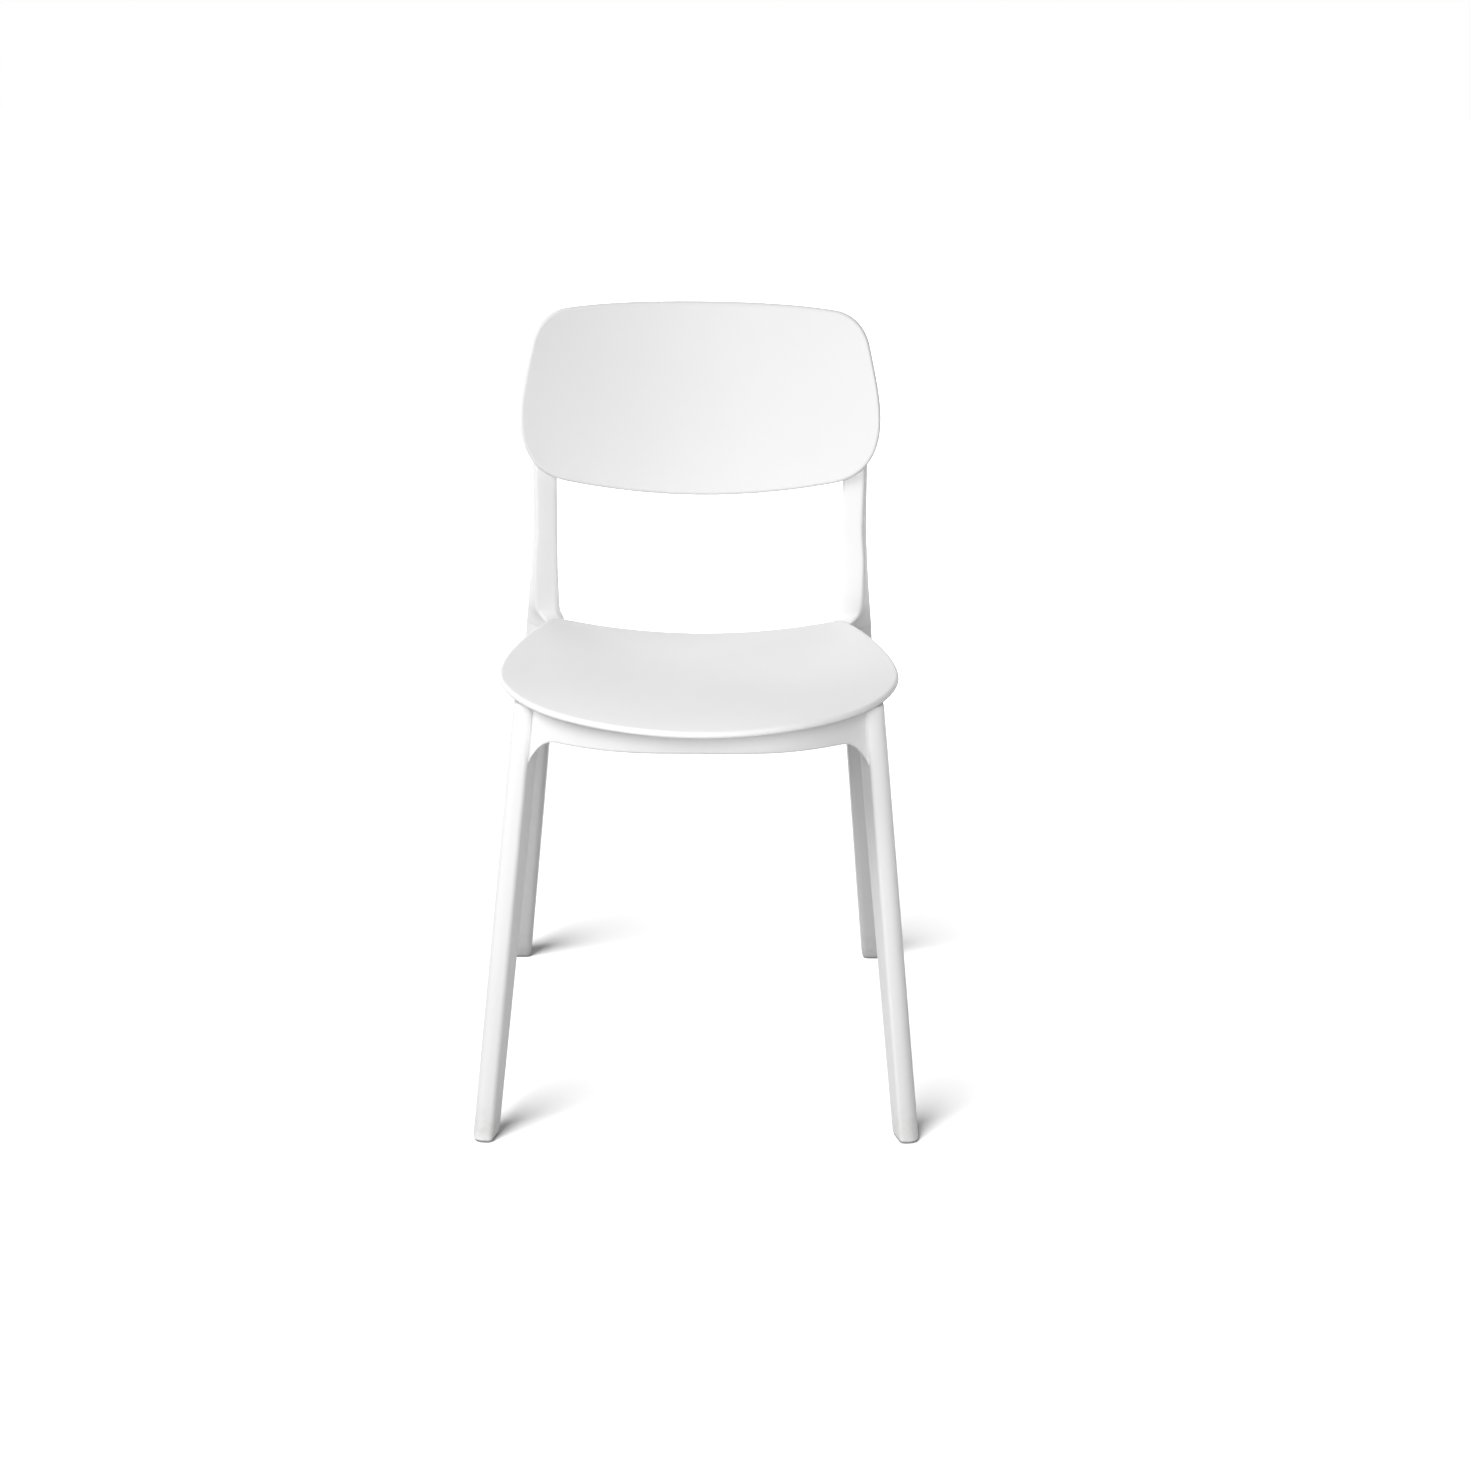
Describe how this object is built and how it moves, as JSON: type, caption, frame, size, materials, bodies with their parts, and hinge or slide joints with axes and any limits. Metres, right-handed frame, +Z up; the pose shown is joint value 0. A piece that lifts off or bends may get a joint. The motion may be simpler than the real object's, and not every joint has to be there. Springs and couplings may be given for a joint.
{
  "type": "stacking chair",
  "caption": "Moulded plastic stacking chair with a dished round-fronted seat, a curved backrest panel on two posts and splayed legs.",
  "frame": {"origin": "on the floor, under the middle of the four feet", "axes": "+Z up, the chair faces -Y, +X to the right as someone facing the chair sees it"},
  "size_m": [0.4738, 0.4893, 0.812],
  "materials": {
    "shell": "moulded white polypropylene, fine satin grain",
    "frame": "moulded white glass-filled polypropylene, satin",
    "cap": "moulded white polypropylene",
    "glide": "grey polyethylene",
    "pad": "soft grey bumper",
    "steel": "zinc-plated steel",
    "brass": "turned brass"
  },
  "bodies": {
    "root": {"seat_panel": "shell", "backrest_panel": "shell", "front_leg_left": "frame", "front_leg_right": "frame", "rear_leg_left": "frame", "rear_leg_right": "frame", "front_apron": "frame", "rear_rail": "frame", "side_rail_left": "frame", "side_rail_right": "frame", "frame_pins": "steel", "seat_inserts": "brass", "seat_screws": "steel", "backrest_inserts": "brass", "backrest_screws": "steel", "backrest_screw_caps": "cap", "foot_glide_front_left": "glide", "foot_glide_front_right": "glide", "foot_glide_rear_left": "glide", "foot_glide_rear_right": "glide", "stacking_pads": "pad"}
  },
  "joints": []
}
